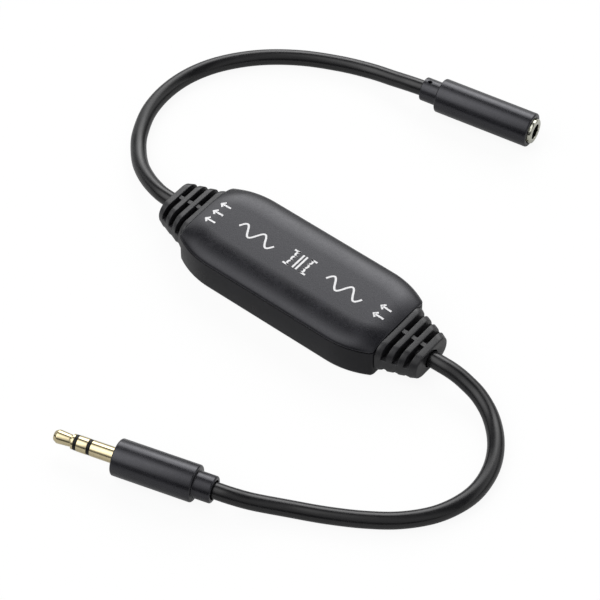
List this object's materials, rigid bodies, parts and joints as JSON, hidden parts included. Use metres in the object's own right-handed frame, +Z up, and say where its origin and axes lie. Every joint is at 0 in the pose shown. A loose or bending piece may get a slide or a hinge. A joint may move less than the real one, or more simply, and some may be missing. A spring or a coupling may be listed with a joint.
{
  "type": "ground loop isolator",
  "caption": "Flat in-line audio isolator with slotted strain reliefs, a cable to a gold 3.5 mm stereo plug at one end and one to a 3.5 mm stereo socket at the other.",
  "frame": {"origin": "centre of the housing's flat underside, on the surface it lies on", "axes": "+X along the housing towards the input cable's strain relief, +Z up, +Y across the housing to the side where the socket lies"},
  "size_m": [0.1278, 0.138, 0.0102],
  "materials": {
    "housing": "satin moulded",
    "relief": "matte moulded",
    "cable": "satin extruded",
    "boot": "satin moulded",
    "contact": "polished gold plate",
    "insulator": "satin",
    "spring": "stamped bronze",
    "board": "solder mask",
    "core": "laminated",
    "bobbin": "satin",
    "winding": "taped",
    "pin": "tinned",
    "lead_left": "satin",
    "lead_right": "satin",
    "lead_ground": "bare copper"
  },
  "bodies": {
    "root": {"lower_shell": "housing", "upper_shell": "housing", "in_strain_relief": "relief", "out_strain_relief": "relief", "in_cable": "cable", "out_cable": "cable", "plug_boot": "boot", "socket_boot": "boot", "plug_tip_contact": "contact", "plug_ring_contact": "contact", "plug_sleeve_contact": "contact", "socket_collar": "contact", "plug_front_insulator": "insulator", "plug_rear_insulator": "insulator", "socket_barrel": "insulator", "socket_ring_contact": "spring", "socket_tip_contact": "spring", "circuit_board": "board", "left_transformer_core": "core", "left_transformer_bobbin": "bobbin", "left_transformer_winding": "winding", "left_transformer_pin_1": "pin", "left_transformer_pin_2": "pin", "left_transformer_pin_3": "pin", "left_transformer_pin_4": "pin", "left_transformer_pin_5": "pin", "left_transformer_pin_6": "pin", "right_transformer_core": "core", "right_transformer_bobbin": "bobbin", "right_transformer_winding": "winding", "right_transformer_pin_1": "pin", "right_transformer_pin_2": "pin", "right_transformer_pin_3": "pin", "right_transformer_pin_4": "pin", "right_transformer_pin_5": "pin", "right_transformer_pin_6": "pin", "in_left_lead": "lead_left", "in_right_lead": "lead_right", "in_ground_lead": "lead_ground", "out_left_lead": "lead_left", "out_right_lead": "lead_right", "out_ground_lead": "lead_ground"}
  },
  "joints": []
}
